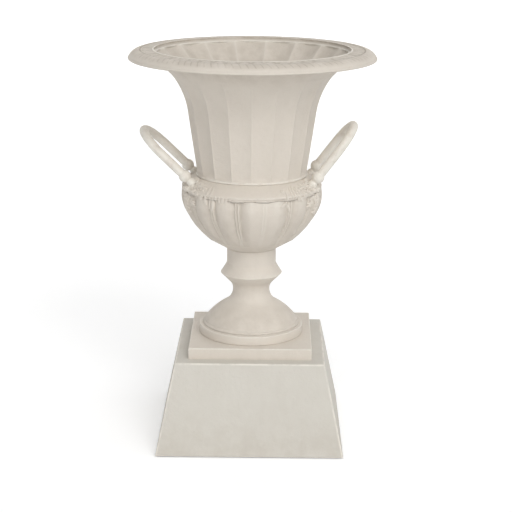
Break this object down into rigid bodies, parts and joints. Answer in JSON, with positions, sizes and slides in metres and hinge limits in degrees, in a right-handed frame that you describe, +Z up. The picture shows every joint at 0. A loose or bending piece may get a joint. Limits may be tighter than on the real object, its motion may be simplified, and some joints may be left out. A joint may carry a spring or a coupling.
{
  "type": "urn planter",
  "caption": "Footed garden urn with a fluted bell, gadrooned bowl and loop handles, standing on a tapered square pedestal; holds soil and plants.",
  "frame": {"origin": "on the floor, under the middle of the pedestal", "axes": "+Z up along the urn's axis; the two handles lie on -X and +X; -Y is the front of the pedestal"},
  "size_m": [0.4726, 0.4726, 0.7597],
  "materials": {
    "cast_paint": "matt bone paint over sand-cast metal",
    "pedestal_paint": "matt bone paint, smooth faces",
    "steel": "zinc-plated fasteners",
    "rubber": "black rubber"
  },
  "bodies": {
    "root": {"bell": "cast_paint", "bowl": "cast_paint", "handle_left": "cast_paint", "handle_right": "cast_paint", "handle_screws": "steel", "handle_screw_washers": "steel", "flange_screws": "steel", "flange_washers": "steel", "flange_nuts": "steel", "stem": "cast_paint", "plinth_plate": "cast_paint", "pedestal": "pedestal_paint", "plate_screws": "steel", "plate_screw_washers": "steel", "pedestal_pads": "rubber", "clamp_bar": "steel", "tie_rod": "steel", "tie_rod_top_nut": "steel", "tie_rod_top_washer": "steel", "tie_rod_seal": "rubber", "tie_rod_bottom_washer": "steel", "tie_rod_bottom_nut": "steel"}
  },
  "joints": []
}
